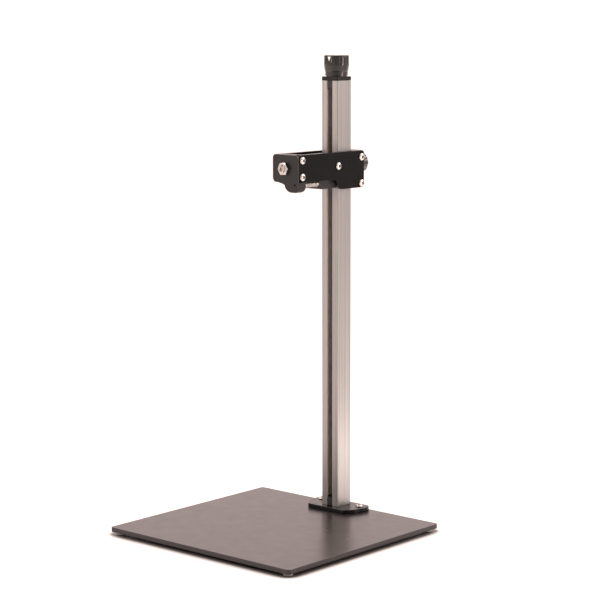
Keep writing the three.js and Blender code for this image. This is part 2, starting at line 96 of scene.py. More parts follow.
PLATE_CORNER = 5
FOOT_RADIUS = 7
FLANGE_SCREW_X = 37
FLANGE_CENTRE_Y = 10  # of its round outline, behind the column's axis
COLUMN_WALL = 2.5
CAVITY_HALF = COLUMN_HALF - COLUMN_WALL
PORT = 10.6  # the column's screw ports, from its axis in X and in Y
PORT_SCREW_HEAD = 2.6  # height of the heads of the screws in the ports
PORT_SCREW_RECESS = 4.1  # radius of the recess for such a head
PORT_SCREW_CLEARANCE = 2.5  # radius of the hole for such a shank
SIDE_OUTER = 23.5
SIDE_INNER = 17.5
BLOCK_HALF = 17.2  # half width of what sits between the side plates
ARM_HALF_HEIGHT = 20
ARM_BACK = 36
SKIRT_DEPTH = 35
BLOCK_FRONT = -114.5
BLOCK_BACK = -95
BOSS_X = 13  # boss, rod and spring under the arm's right half
BOSS_Z = -24
BOSS_BOTTOM = -34
BOSS_CENTRE = 12  # of its round side, in X
BOSS_RADIUS = 13.5
BOSS_CORNER = 3.5
SIDE_SCREWS = {  # Y and Z
    "front_upper": (-103.2, 12),
    "front_lower": (-103.2, -12),
    "middle": (-23.6, -0.3),
    "rear_upper": (29.2, 10.3),
    "rear_lower": (29.2, -28.6),
}
SCREW_HEAD_RADIUS = 5.5
SCREW_HEAD_HEIGHT = 3.3
THREAD_RADIUS = 3
SCREW_CLEARANCE = 3.4  # radius of the hole for such a screw
KNOB_RADIUS = 18.6
KNOB_FLUTES = 10
KNOB_FLUTE_END = 14.5  # how far down from the top the straight side and the flutes reach
KNOB_LAND = 5  # degrees from the front to the land with the index mark

# ---------------------------------------------------------------- mesh tools

AXES = {  # an outline's two directions, then the direction it is carried along
    "x": ((0, 1, 0), (0, 0, 1), (1, 0, 0)),
    "y": ((0, 0, 1), (1, 0, 0), (0, 1, 0)),
    "z": ((1, 0, 0), (0, 1, 0), (0, 0, 1)),
}


def along(axis):
    """Turns a shape drawn about +Z so that its length runs along another axis."""
    return Matrix(AXES[axis]).transposed().to_4x4()


def new_object(mesh_maker, name="shape"):
    mesh = bpy.data.meshes.new(name)
    bm = bmesh.new()
    mesh_maker(bm)
    bmesh.ops.recalc_face_normals(bm, faces=bm.faces)
    bm.to_mesh(mesh)
    bm.free()
    obj = bpy.data.objects.new(name, mesh)
    bpy.context.scene.collection.objects.link(obj)
    return obj


def arc(centre, radius, start, end, steps):
    """Points on an arc between two angles in degrees."""
    angles = [math.radians(start + (end - start) * i / steps) for i in range(steps + 1)]
    return [(centre[0] + radius * math.cos(a), centre[1] + radius * math.sin(a)) for a in angles]


def outline(corners, steps=8):
    """A closed outline; each corner is (u, v) or (u, v, radius)."""
    points = []
    for i, corner in enumerate(corners):
        here = Vector(corner[:2])
        radius = corner[2] if len(corner) > 2 else 0
        if not radius:
            points.append(tuple(here))
            continue
        back = (Vector(corners[i - 1][:2]) - here).normalized()
        ahead = (Vector(corners[(i + 1) % len(corners)][:2]) - here).normalized()
        half = back.angle(ahead) / 2
        centre = here + (back + ahead).normalized() * radius / math.sin(half)
        start = here + back * radius / math.tan(half) - centre
        end = here + ahead * radius / math.tan(half) - centre
        sweep = math.pi - 2 * half
        turn = 1 if start.x * end.y - start.y * end.x > 0 else -1
        first = math.atan2(start.y, start.x)
        for k in range(steps + 1):
            angle = first + turn * sweep * k / steps
            points.append((centre.x + radius * math.cos(angle), centre.y + radius * math.sin(angle)))
    return points


def prism(axis, points, low, high):
    """An outline carried along an axis."""
    def make(bm):
        rings = [[bm.verts.new((u, v, w)) for u, v in points] for w in (low, high)]
        bm.faces.new(rings[0])
        bm.faces.new(rings[1])
        count = len(points)
        for i in range(count):
            j = (i + 1) % count
            bm.faces.new((rings[0][i], rings[0][j], rings[1][j], rings[1][i]))
        bm.transform(along(axis))
    return new_object(make)


def block(x0, x1, y0, y1, z0, z1):
    return prism("z", [(x0, y0), (x1, y0), (x1, y1), (x0, y1)], z0, z1)


def block_like(node):
    """A block where the frame has the piece, already in its place."""
    low, high = box_mm(node)
    return block(low[0], high[0], low[1], high[1], low[2], high[2])


def turned(axis, profile, at=(0, 0), segments=64):
    """A turned shape from (radius, height) points; a radius of 0 is a point on the axis."""
    def make(bm):
        rings = []
        for radius, height in profile:
            if radius == 0:
                rings.append([bm.verts.new((at[0], at[1], height))])
                continue
            ring = []
            for i in range(segments):
                angle = 2 * math.pi * i / segments
                x, y = at[0] + radius * math.cos(angle), at[1] + radius * math.sin(angle)
                ring.append(bm.verts.new((x, y, height)))
            rings.append(ring)
        closed = profile[0][0] != 0
        pairs = list(zip(rings, rings[1:])) + ([(rings[-1], rings[0])] if closed else [])
        for a, b in pairs:
            bridge(bm, a, b)
        bm.transform(along(axis))
    return new_object(make)


def bridge(bm, a, b):
    """Joins two rings, of which one may be a single point."""
    count = max(len(a), len(b))
    for i in range(count):
        j = (i + 1) % count
        if len(a) == 1:
            bm.faces.new((a[0], b[i], b[j]))
        elif len(b) == 1:
            bm.faces.new((a[i], a[j], b[0]))
        else:
            bm.faces.new((a[i], a[j], b[j], b[i]))


def bar(axis, radius, low, high, at=(0, 0), segments=48):
    return turned(axis, [(0, low), (radius, low), (radius, high), (0, high)], at, segments)


def hexagon(axis, across_flats, low, high, at=(0, 0), turn=0):
    radius = across_flats / math.sqrt(3)
    corners = [(at[0] + radius * math.cos(math.radians(turn + 60 * i)),
                at[1] + radius * math.sin(math.radians(turn + 60 * i))) for i in range(6)]
    return prism(axis, corners, low, high)


def apply_modifiers(obj):
    mesh = bpy.data.meshes.new_from_object(obj.evaluated_get(bpy.context.evaluated_depsgraph_get()))
    old = obj.data
    obj.modifiers.clear()
    obj.data = mesh
    bpy.data.meshes.remove(old)


def combine(body, tools, operation):
    for tool in tools:
        modifier = body.modifiers.new("combine", "BOOLEAN")
        modifier.operation = operation
        modifier.object = tool
        modifier.solver = "EXACT"
    apply_modifiers(body)
    for tool in tools:
        discard(tool)
    return body


def discard(obj):
    mesh = obj.data
    bpy.data.objects.remove(obj)
    bpy.data.meshes.remove(mesh)


def cut(body, *tools):
    """Takes the tools away from the body. Where a tool reaches past the body, its end has no meaning."""
    return combine(body, tools, "DIFFERENCE")


def join(body, *tools):
    return combine(body, tools, "UNION")


def split(obj, planes):
    """Divides faces along planes, so that holes don't leave long thin triangles across a large flat face."""
    bm = bmesh.new()
    bm.from_mesh(obj.data)
    for point, normal in planes:
        everything = bm.verts[:] + bm.edges[:] + bm.faces[:]
        bmesh.ops.bisect_plane(bm, geom=everything, plane_co=point, plane_no=normal)
    bm.to_mesh(obj.data)
    bm.free()


def soften(obj, width, segments=3, angle=32):
    """Rounds the edges and keeps the flat faces looking flat."""
    if width:
        bevel = obj.modifiers.new("bevel", "BEVEL")
        bevel.width = width
        bevel.segments = segments
        bevel.limit_method = "ANGLE"
        bevel.angle_limit = math.radians(angle)
        bevel.use_clamp_overlap = False
        bevel.miter_outer = "MITER_ARC"
        apply_modifiers(obj)
    shade(obj)
    return obj


def shade(obj, angle=32):
    obj.data.shade_smooth()
    obj.data.set_sharp_from_angle(angle=math.radians(angle))
    weighted = obj.modifiers.new("normals", "WEIGHTED_NORMAL")
    weighted.keep_sharp = True
    apply_modifiers(obj)


def place(obj, name, body, look, at=(0, 0, 0), nodes=None, turn=None):
    """Scales a finished shape to metres, puts it in place and hands it to the frame."""
    obj.name = obj.data.name = name
    if turn:
        obj.data.transform(turn)
    obj.data.transform(Matrix.Scale(0.001, 4) @ Matrix.Translation(at))
    obj.data.materials.clear()
    obj.data.materials.append(look)
    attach(obj, body)
    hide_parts(*(nodes or [name.removesuffix("_look")]))
    return obj


# ---------------------------------------------------------------- materials


NOISE_ROUGHNESS = 0.55


class Look:
    """A material in the making: one Principled shader, varied by noise in object coordinates (metres)."""

    def __init__(self, name, colour, roughness, metallic=0.0, specular=0.5):
        self.material = bpy.data.materials.new(name)
        self.material.use_nodes = True
        self.tree = self.material.node_tree
        self.shader = self.tree.nodes["Principled BSDF"]
        self.shader.inputs["Base Color"].default_value = (*colour, 1)
        self.shader.inputs["Roughness"].default_value = roughness
        self.shader.inputs["Metallic"].default_value = metallic
        self.shader.inputs["Specular IOR Level"].default_value = specular
        self.coordinates = self.tree.nodes.new("ShaderNodeTexCoord").outputs["Object"]
        self.normal = None

    def link(self, output, node_input):
        self.tree.links.new(output, node_input)

    def node(self, kind, **values):
        node = self.tree.nodes.new(kind)
        for key, value in values.items():
            setattr(node, key, value)
        return node

    def stretched(self, scale):
        mapping = self.node("ShaderNodeMapping")
        mapping.inputs["Scale"].default_value = scale
        self.link(self.coordinates, mapping.inputs["Vector"])
        return mapping.outputs["Vector"]

    def noise(self, scale, detail, stretch=None):
        noise = self.node("ShaderNodeTexNoise")
        noise.inputs["Scale"].default_value = scale
        noise.inputs["Detail"].default_value = detail
        noise.inputs["Roughness"].default_value = NOISE_ROUGHNESS
        self.link(self.stretched(stretch) if stretch else self.coordinates, noise.inputs["Vector"])
        return noise.outputs["Fac"]

    def ranged(self, output, low, high, from_low=0.3, from_high=0.7):
        ranged = self.node("ShaderNodeMapRange")
        ranged.inputs["From Min"].default_value = from_low
        ranged.inputs["From Max"].default_value = from_high
        ranged.inputs["To Min"].default_value = low
        ranged.inputs["To Max"].default_value = high
        self.link(output, ranged.inputs["Value"])
        return ranged.outputs["Result"]

    def vary_roughness(self, output, low, high):
        self.link(self.ranged(output, low, high), self.shader.inputs["Roughness"])

    def vary_colour(self, output, first, second, from_low=0.3, from_high=0.7):
        mix = self.node("ShaderNodeMix", data_type="RGBA")
        colour_inputs = [i for i in mix.inputs if i.type == "RGBA"]
        colour_inputs[0].default_value = (*first, 1)
        colour_inputs[1].default_value = (*second, 1)
        self.link(self.ranged(output, 0, 1, from_low, from_high), mix.inputs["Factor"])
        result = [o for o in mix.outputs if o.type == "RGBA"][0]
        self.link(result, self.shader.inputs["Base Color"])

    def bump(self, output, strength, distance):
        bump = self.node("ShaderNodeBump")
        bump.inputs["Strength"].default_value = strength
        bump.inputs["Distance"].default_value = distance
        self.link(output, bump.inputs["Height"])
        if self.normal:
            self.link(self.normal, bump.inputs["Normal"])
        self.normal = bump.outputs["Normal"]
        self.link(self.normal, self.shader.inputs["Normal"])


def tint(colour, factor):
    return [min(1.0, c * factor) for c in colour]


def powder_coat():
    colour = (0.0150, 0.0112, 0.0105)
    look = Look("powder_coat", colour, 0.29, specular=0.36)
    look.vary_colour(look.noise(14, 4), tint(colour, 0.88), tint(colour, 1.15))
    look.vary_roughness(look.noise(60, 4), 0.27, 0.315)
    look.bump(look.noise(700, 2), 0.08, 0.0003)
    look.bump(look.noise(2600, 2), 0.10, 0.0001)
    return look.material


def black_anodised(name, colour, rough, specular):
    look = Look(name, colour, rough, specular=specular)
    look.vary_colour(look.noise(45, 4), tint(colour, 0.85), tint(colour, 1.2))
    look.vary_roughness(look.noise(130, 5), rough - 0.04, rough + 0.05)
    look.bump(look.noise(3200, 3), 0.12, 0.00006)
    return look.material


def silver_anodised():
    """Drawn along the column: fine lines that run its whole length."""
    colour = (0.300, 0.290, 0.281)
    look = Look("silver_anodised", colour, 0.4, metallic=1.0)
    lines = look.noise(1.0, 4, stretch=(650, 650, 2.5))
    fine = look.noise(1.0, 2, stretch=(4200, 4200, 9))
    look.vary_colour(lines, tint(colour, 0.80), tint(colour, 1.20))
    look.vary_roughness(fine, 0.36, 0.46)
    look.bump(lines, 0.20, 0.00012)
    look.bump(fine, 0.10, 0.00004)
    return look.material


def metal(name, colour, rough):
    look = Look(name, colour, rough, metallic=1.0)
    look.vary_colour(look.noise(120, 3), tint(colour, 0.90), tint(colour, 1.06))
    look.vary_roughness(look.noise(500, 4), rough - 0.05, rough + 0.07)
    look.bump(look.noise(1800, 3), 0.08, 0.00005)
    return look.material


def moulded(name, colour, rough, grain=1500, depth=0.00008, specular=0.5):
    look = Look(name, colour, rough, specular=specular)
    look.vary_colour(look.noise(70, 3), tint(colour, 0.88), tint(colour, 1.14))
    look.vary_roughness(look.noise(240, 4), rough - 0.04, rough + 0.05)
    look.bump(look.noise(grain, 3), 0.14, depth)
    return look.material


LOOKS = {
    "powder": powder_coat(),
    # a lighter, matt copy of the column's silver for the faces inside its cavity and slot: painted light in
    # their shade
    "cavity_painted_light": moulded("cavity_painted_light_silver", (0.60, 0.54, 0.51), 0.6),
    "plate_black": black_anodised("side_plate_black", (0.0042, 0.0039, 0.0037), 0.24, specular=0.09),
    "block_black": black_anodised("block_black", (0.010, 0.0090, 0.0086), 0.40, specular=0.30),
    "cap_black": black_anodised("cap_black", (0.007, 0.0062, 0.006), 0.28, specular=0.22),
    "housing_black": black_anodised("housing_black", (0.011, 0.0098, 0.0095), 0.20, specular=0.50),
    "flange_black": black_anodised("flange_black", (0.0030, 0.0027, 0.0026), 0.28, specular=0.24),
    "silver": silver_anodised(),
    "bright": metal("bright_steel", (0.52, 0.495, 0.47), 0.14),
    "ground": metal("ground_steel", (0.52, 0.51, 0.50), 0.28),
    "brass": metal("machined_brass", (0.66, 0.47, 0.20), 0.28),
    "knob": moulded("knob_plastic", (0.0085, 0.0078, 0.0075), 0.15, specular=0.55),
    "plug": moulded("plug_plastic", (0.020, 0.018, 0.017), 0.5, specular=0.3),
    "slide": moulded("slide_plastic", (0.66, 0.62, 0.54), 0.45),
    "rubber": moulded("foot_rubber", (0.55, 0.53, 0.50), 0.6, grain=900, depth=0.00015, specular=0.3),
    "white": moulded("index_white", (0.80, 0.78, 0.75), 0.5),
}

# ---------------------------------------------------------------- fasteners


def button_screw(shank, pitch=1.0):
    """A domed head above z = 0 with a hex socket, and a threaded shank below."""
    r, h = SCREW_HEAD_RADIUS, SCREW_HEAD_HEIGHT
    rim = 0.85  # height at which the dome starts
    socket, socket_depth = 4.2, 2.6
    angles = [math.radians(a) for a in range(0, 66, 6)]
    dome = [(r * math.cos(a), rim + (h - rim) * math.sin(a)) for a in angles]
    head = turned("z", [(0, 0.3), (r - 0.25, 0.3), (r, 0.5), *dome, (2.7, h), (0, h)])
    head = cut(head, hexagon("z", socket, h - socket_depth, h + 1))
    soften(head, 0.09, 2)
    return merge([head, thread(THREAD_RADIUS, -shank, 0.4, pitch)])


def thread(radius, low, high, pitch, starts=1, segments=28, rows=6, depth=0.61):
    """A right-hand screw thread about Z that grows to full depth over the first turn above its low end."""
    lead = pitch * starts
    flat, flank = 1.35, 3.6  # a ridge's height at its middle, before it is cut off at 1, and its slope
    steps = max(2, round((high - low) / pitch * rows))

    def make(bm):
        rings = []
        for k in range(steps + 1):
            z = low + (high - low) * k / steps
            ends = min(1.0, (z - low) / pitch)
            ring = []
            for i in range(segments):
                angle = 2 * math.pi * i / segments
                phase = ((z - lead * angle / (2 * math.pi)) / pitch) % 1.0
                ridge = min(1.0, max(0.0, flat - abs(phase - 0.5) * flank))
                r = radius - depth * pitch * (1 - ridge * ends)
                ring.append(bm.verts.new((r * math.cos(angle), r * math.sin(angle), z)))
            rings.append(ring)
        for a, b in zip(rings, rings[1:]):
            bridge(bm, a, b)
        bm.faces.new(rings[0])
        bm.faces.new(rings[-1])
    obj = new_object(make)
    obj.data.shade_smooth()
    obj.data.set_sharp_from_angle(angle=math.radians(60))
    return obj


def merge(objects):
    """Several finished shapes as one mesh."""
    bm = bmesh.new()
    for obj in objects:
        bm.from_mesh(obj.data)
    mesh = bpy.data.meshes.new("merged")
    bm.to_mesh(mesh)
    bm.free()
    first = objects[0]
    for obj in objects[1:]:
        discard(obj)
    old = first.data
    first.data = mesh
    bpy.data.meshes.remove(old)
    return first


def copy_of(obj):
    twin = obj.copy()
    twin.data = obj.data.copy()
    bpy.context.scene.collection.objects.link(twin)
    return twin


def cap_screw(radius, head, tall, shank):
    """A small cylinder-head screw, head above z = 0."""
    body = cut(bar("z", head, 0, tall), hexagon("z", radius * 1.5, tall * 0.4, tall + 1))
    soften(body, 0.15, 2)
    return merge([body, thread(radius, -shank, 0.1, radius / 3, rows=4, segments=20)])


# ---------------------------------------------------------------- base


def build_base():
    half_w = (PLATE_HIGH[0] - PLATE_LOW[0]) / 2
    y0, y1 = PLATE_LOW[1], PLATE_HIGH[1]
    corners = [(-half_w, y0), (half_w, y0), (half_w, y1), (-half_w, y1)]
    corners = [(x, y, PLATE_CORNER) for x, y in corners]
    plate = prism("z", outline(corners, 14), PLATE_LOW[2], PLATE_HIGH[2])
    screw_y = middle("flange_screw_left")[1]
    holes = [bar("z", SCREW_CLEARANCE, 0, 20, (side * FLANGE_SCREW_X, screw_y)) for side in (-1, 1)]
    plate = cut(plate, *holes)
    clear_x, clear_y = 45, 22  # planes that pass clear of both holes
    split(plate, [((side * clear_x, 0, 0), (1, 0, 0)) for side in (-1, 1)])
    split(plate, [((0, COLUMN_Y + side * clear_y, 0), (0, 1, 0)) for side in (-1, 1)])
    place(soften(plate, 0.7), "base_plate_look", "stand", LOOKS["powder"])

    for corner in ("front_left", "front_right", "rear_right", "rear_left"):
        x, y, _ = middle(f"foot_{corner}")
        r, h = FOOT_RADIUS, heights(f"foot_{corner}")[1]
        foot = turned("z", [(0, 0.8), (2.2, 0.8), (2.9, 0), (r - 1.2, 0), (r - 0.4, 0.35), (r, 1.1),
                            (r, h - 0.4), (r - 0.4, h), (0, h)], segments=56)
        soften(foot, 0)
        place(foot, f"foot_{corner}_look", "stand", LOOKS["rubber"], (x, y, 0))

    build_flange()
    screw = button_screw(shank=12.5)
    for side in ("left", "right"):
        node = f"flange_screw_{side}"
        x, y, _ = middle(node)
        place(copy_of(screw), f"{node}_look", "stand", LOOKS["bright"], (x, y, FLANGE_TOP))
    discard(screw)


def build_flange():
    """A disc with a flat front and a flat back; the back corners are rounded."""
    radius, centre_y, flat, corner = 49, FLANGE_CENTRE_Y, 25, 10
    round_y = flat - corner
    round_x = math.sqrt((radius - corner) ** 2 - (round_y - centre_y) ** 2)
    front = math.degrees(math.asin((-flat - centre_y) / radius))
    meet = math.degrees(math.atan2(round_y - centre_y, round_x))
    points = arc((0, centre_y), radius, front, meet, 24)
    points += arc((round_x, round_y), corner, meet, 90, 12)[1:]
    points += arc((-round_x, round_y), corner, 90, 180 - meet, 12)
    points += arc((0, centre_y), radius, 180 - meet, 180 - front, 24)[1:]
    wide, narrow, seat = PORT_SCREW_RECESS, PORT_SCREW_CLEARANCE, FLANGE_BOTTOM + 3.4
    recess = [(0, 0), (wide, 0), (wide, seat), (narrow, seat), (narrow, 30), (0, 30)]
    tools = [bar("z", SCREW_CLEARANCE, 0, 30, (side * FLANGE_SCREW_X, centre_y)) for side in (-1, 1)]
    tools += [turned("z", recess, (x, y), 32) for x in (-PORT, PORT) for y in (-PORT, PORT)]
    flange = soften(cut(prism("z", points, FLANGE_BOTTOM, FLANGE_TOP), *tools), 0.6)
    place(flange, "column_flange_look", "stand", LOOKS["flange_black"], ON_COLUMN)


# ---------------------------------------------------------------- column


def build_column():
    h, inner, slot, lip, corner = COLUMN_HALF, CAVITY_HALF, 5, 0.35, 1.5
    section = [(-slot, -h, lip), (-slot, -inner, lip), (-inner, -inner), (-inner, inner), (inner, inner),
               (inner, -inner), (slot, -inner, lip), (slot, -h, lip), (h, -h, corner), (h, h, corner),
               (-h, h, corner), (-h, -h, corner)]
    low, high = COLUMN_BOTTOM, COLUMN_TOP
    column = prism("z", outline(section, 5), low, high)
    port_radius, bore_radius = 3.1, 2.2
    spots = [(x * PORT, y * PORT) for x in (-1, 1) for y in (-1, 1)]
    ports = [bar("z", port_radius, low, high, spot, 32) for spot in spots]
    bores = [bar("z", bore_radius, low - 1, high + 1, spot, 24) for spot in spots]
    column = cut(join(column, *ports), *bores)
    soften(column, 0.12, 2, angle=50)
    centres = [(abs(face.center.x), abs(face.center.y)) for face in column.data.polygons]
    # the cavity and the slot's sides, which take a lighter matt copy of the silver: painted light that lifts
    # the shade in there
    inside = [max(x, y) < inner + 0.2 or x < slot + 0.05 for x, y in centres]
    place(column, "column_look", "stand", LOOKS["silver"], ON_COLUMN)
    column.data.materials.append(LOOKS["cavity_painted_light"])
    for face, hidden in zip(column.data.polygons, inside):
        face.material_index = int(hidden)

    screw = cap_screw(1.9, 3.6, PORT_SCREW_HEAD, 20)
    upside_down = Matrix.Rotation(math.pi, 4, "X")
    for corner in ("front_left", "front_right", "rear_right", "rear_left"):
        node = f"column_screw_{corner}"
        x, y, _ = middle(node)
        height = heights(node)[0] + PORT_SCREW_HEAD
        place(copy_of(screw), f"{node}_look", "stand", LOOKS["bright"], (x, y, height),
              turn=upside_down)
    for side in ("left", "right"):
        node = f"cap_screw_{side}"
        x, y, _ = middle(node)
        place(copy_of(screw), f"{node}_look", "stand", LOOKS["bright"],
              (x, y, heights(node)[1] - PORT_SCREW_HEAD))
    discard(screw)
    build_plugs(spots)


def build_plugs(spots):
    """Square plugs in the column's ends, with a tongue in the slot and notches round the screw ports."""
    gap, tongue, notch = 0.3, 4.7, 3.6
    for node, bore in (("lower_plug", 5), ("upper_plug", 4.8)):
        z0, z1 = heights(node)
        half, front = CAVITY_HALF - gap, -COLUMN_HALF + gap
        points = [(-half, -half), (-tongue, -half), (-tongue, front), (tongue, front), (tongue, -half),
                  (half, -half), (half, half), (-half, half)]
        notches = [block(x - notch, x + notch, y - notch, y + notch, z0 - 1, z1 + 1) for x, y in spots]
        plug = cut(prism("z", points, z0, z1), bar("z", bore, z0 - 1, z1 + 1), *notches)
        place(soften(plug, 0.3), f"{node}_look", "stand", LOOKS["plug"], ON_COLUMN)
    z0, z1 = heights("lower_bush")
    bore, outer = 3.3, 4.7
    bush = turned("z", [(bore, z0), (outer, z0), (outer, z1), (bore, z1)], segments=40)
    place(soften(bush, 0.15, 2), "lower_bush_look", "stand", LOOKS["brass"], ON_COLUMN)


# ---------------------------------------------------------------- column head


def build_head():
    low, high = heights("top_cap")
    half, corner, bore = box_mm("top_cap")[1][0], 1.5, 6
    corners = [(-half, -half, corner), (half, -half, corner), (half, half, corner), (-half, half, corner)]
    wide, narrow, seat = PORT_SCREW_RECESS, PORT_SCREW_CLEARANCE, high - 3.2
    recess = [(0, low - 1), (narrow, low - 1), (narrow, seat), (wide, seat), (wide, high + 1), (0, high + 1)]
    recesses = [turned("z", recess, (x * PORT, PORT), 40) for x in (-1, 1)]
    cap = cut(prism("z", outline(corners, 6), low, high), bar("z", bore, low - 1, high + 1), *recesses)
    place(soften(cap, 0.5), "top_cap_look", "stand", LOOKS["cap_black"], ON_COLUMN)

    low, high = heights("bearing_housing")
    r, neck, bore, seat, seat_top = 16.8, 15.3, 4.8, 8.3, low + 5.3
    profile = [(seat, low), (neck, low), (neck, low + 1), (r - 0.3, low + 1), (r, low + 1.3), (r, high - 0.3),
               (r - 0.3, high), (bore, high), (bore, seat_top), (seat, seat_top)]
    housing = turned("z", profile, segments=128)
    place(soften(housing, 0.2, 2), "bearing_housing_look", "stand", LOOKS["housing_black"],
          ON_COLUMN)

    low, high = heights("upper_bearing")
    groove = 0.5  # depth of the gap between the two races
    bearing = turned("z", [(4.2, low), (5.4, low), (5.6, low + groove), (6.6, low + groove), (6.8, low),
                           (8, low), (8, high), (6.8, high), (6.6, high - groove), (5.6, high - groove),
                           (5.4, high), (4.2, high)])
    place(soften(bearing, 0.1, 2), "upper_bearing_look", "stand", LOOKS["ground"], ON_COLUMN)


def build_lead_screw():
    low, high = heights("lead_screw")
    thread_low, thread_high = FLANGE_TOP + 14, COLUMN_TOP - 12
    overlap = 0.4  # how far the plain ends reach into the thread
    lower = turned("z", [(0, low), (2.8, low), (3.1, low + 0.3), (3.1, thread_low + overlap),
                         (0, thread_low + overlap)])
    upper = turned("z", [(0, thread_high - overlap), (4, thread_high - overlap), (4, high - 0.4), (3.6, high),
                         (0, high)])
    for end in (lower, upper):
        soften(end, 0)
    screw = thread(5, thread_low, thread_high, 2.5, starts=4, segments=32, rows=6, depth=0.4)
    place(merge([screw, lower, upper]), "lead_screw_look", "lead_screw", LOOKS["ground"],
          ON_COLUMN)


# ---------------------------------------------------------------- knobs


def fluted(axis, profile, flutes, flute_radius, reach, low, high, at_angle, segments=280):
    """A turned knob with round-ended flutes cut into its side from low to high.

    A flute is a round bar whose axis lies at `reach` from the knob's axis; past `low` and `high` it ends in a
    ball.
    """
    def cut_back(radius, angle, height):
        pitch = 2 * math.pi / flutes
        off = (angle - math.radians(at_angle) + pitch / 2) % pitch - pitch / 2
        ball = max(0.0, low - height, height - high)
        spare = flute_radius ** 2 - ball ** 2 - (reach * math.sin(off)) ** 2
        if spare <= 0:
            return radius
        return min(radius, reach * math.cos(off) - math.sqrt(spare))

    def make(bm):
        rings = []
        for radius, height in profile:
            if radius == 0:
                rings.append([bm.verts.new((0, 0, height))])
                continue
            ring = []
            for i in range(segments):
                angle = 2 * math.pi * i / segments
                r = cut_back(radius, angle, height)
                ring.append(bm.verts.new((r * math.cos(angle), r * math.sin(angle), height)))
            rings.append(ring)
        for a, b in zip(rings, rings[1:]):
            bridge(bm, a, b)
        bm.transform(along(axis))
    obj = new_object(make)
    shade(obj, 40)
    return obj


def filled(profile, step):
    """The same profile with points at most `step` apart."""
    points = [profile[0]]
    for a, b in zip(profile, profile[1:]):
        count = max(1, math.ceil(math.dist(a, b) / step))
        points += [(a[0] + (b[0] - a[0]) * k / count, a[1] + (b[1] - a[1]) * k / count)
                   for k in range(1, count + 1)]
    return points


def build_top_knob():
    z0, z1, r = KNOB_BOTTOM, KNOB_TOP, KNOB_RADIUS
    side = [(16.8, z0), (17.2, z0 + 0.4), (r, z1 - KNOB_FLUTE_END), (r, z1 - 1.4), (r - 0.25, z1 - 0.7),
            (r - 0.7, z1 - 0.2), (r - 1.4, z1)]
    top = [(12.4, z1), (12.1, z1 - 0.25), (11.9, z1 - 0.6), (11.6, z1 - 0.25), (11.3, z1)]
    flute = 2.9
    first_flute = KNOB_LAND - 90 + 180 / KNOB_FLUTES  # half a step from the land
    profile = [(0, z0), *filled(side, 0.45), *filled(top, 0.4), (6, z1), (0, z1)]
    knob = fluted("z", profile, KNOB_FLUTES, flute, r + 1, z1 - KNOB_FLUTE_END + flute, z1 + 5, first_flute,
                  segments=360)
    place(knob, "top_knob_look", "lead_screw", LOOKS["knob"], ON_COLUMN)

    set_low, set_high = box_mm("knob_set_screw")
    radius = (set_high[0] - set_low[0]) / 2
    length = set_high[1] - set_low[1]
    grub = cut(bar("y", radius, 0, length), hexagon("y", 2.5, length - 2.6, length + 1))
    place(soften(grub, 0.15, 2), "knob_set_screw_look", "lead_screw", LOOKS["bright"],
          (0, set_low[1], (set_low[2] + set_high[2]) / 2))
    build_index_mark()


def build_index_mark():
    """A white triangle that follows the knob's round side, pointing down."""
    angle0 = math.radians(KNOB_LAND - 90)
    top, tip, half = KNOB_TOP - 2.1, KNOB_TOP - 8.1, 2.7
    inner, outer = KNOB_RADIUS - 0.3, KNOB_RADIUS + 0.12

    def make(bm):
        rows, half_columns = 12, 4
        layers = []
        for radius in (inner, outer):
            grid = []
            for k in range(rows + 1):
                z = tip + (top - tip) * k / rows
                width = max(0.02, half * k / rows)
                angles = [angle0 + width * s / half_columns / radius
                          for s in range(-half_columns, half_columns + 1)]
                grid.append([bm.verts.new((radius * math.cos(a), radius * math.sin(a), z)) for a in angles])
            layers.append(grid)
        for grid in layers:
            for a, b in zip(grid, grid[1:]):
                for i in range(len(a) - 1):
                    bm.faces.new((a[i], a[i + 1], b[i + 1], b[i]))
        back, front = layers
        edges = [[(a[0], b[0]) for a, b in zip(back, front)], [(a[-1], b[-1]) for a, b in zip(back, front)],
                 list(zip(back[0], front[0])), list(zip(back[-1], front[-1]))]
        for pairs in edges:
            for (a, b), (c, d) in zip(pairs, pairs[1:]):
                bm.faces.new((a, b, d, c))
    mark = new_object(make)
    mark.data.shade_smooth()
    mark.data.set_sharp_from_angle(angle=math.radians(40))
    place(mark, "knob_index_mark_look", "lead_screw", LOOKS["white"], ON_COLUMN)


def build_clamp():
    y0, y1 = depths("clamp_knob")
    r, flute = 16.5, 2.6
    side = [(8.6, y0), (9, y0 + 0.4), (9, y0 + 2), (r - 1.4, y0 + 2), (r - 0.3, y0 + 2.5), (r, y0 + 3.4),
            (r, y1 - 2.4), (r - 0.4, y1 - 1.2), (r - 1.4, y1 - 0.4), (r - 2.6, y1)]
    face = [(9, y1), (8.7, y1 - 0.3), (8.3, y1)]
    profile = [(0, y0), *filled(side, 0.5), *filled(face, 0.4), (0, y1)]
    knob = fluted("y", profile, KNOB_FLUTES, flute, r + 1, y0 - 5, y1 + 5, 0)
    place(knob, "clamp_knob_look", "clamp_screw", LOOKS["knob"], ON_ARM)

    low, high = depths("clamp_screw")
    screw = thread(3.9, 0, high - low, 1.25)
    place(screw, "clamp_screw_look", "clamp_screw", LOOKS["bright"],
          (0, COLUMN_Y + low, ARM_Z), turn=along("y"))
    low, high = depths("clamp_pad")
    pad = soften(bar("y", 6, low, high), 0.3)
    place(pad, "clamp_pad_look", "clamp_pad", LOOKS["slide"], ON_ARM)


# ---------------------------------------------------------------- carriage


def side_holes(*names):
    """Holes for side screws, from both sides."""
    holes = []
    for name in names:
        y, z = SIDE_SCREWS[name]
        holes += [bar("x", SCREW_CLEARANCE, 8, 40, (y, z)), bar("x", SCREW_CLEARANCE, -40, -8, (y, z))]
    return holes


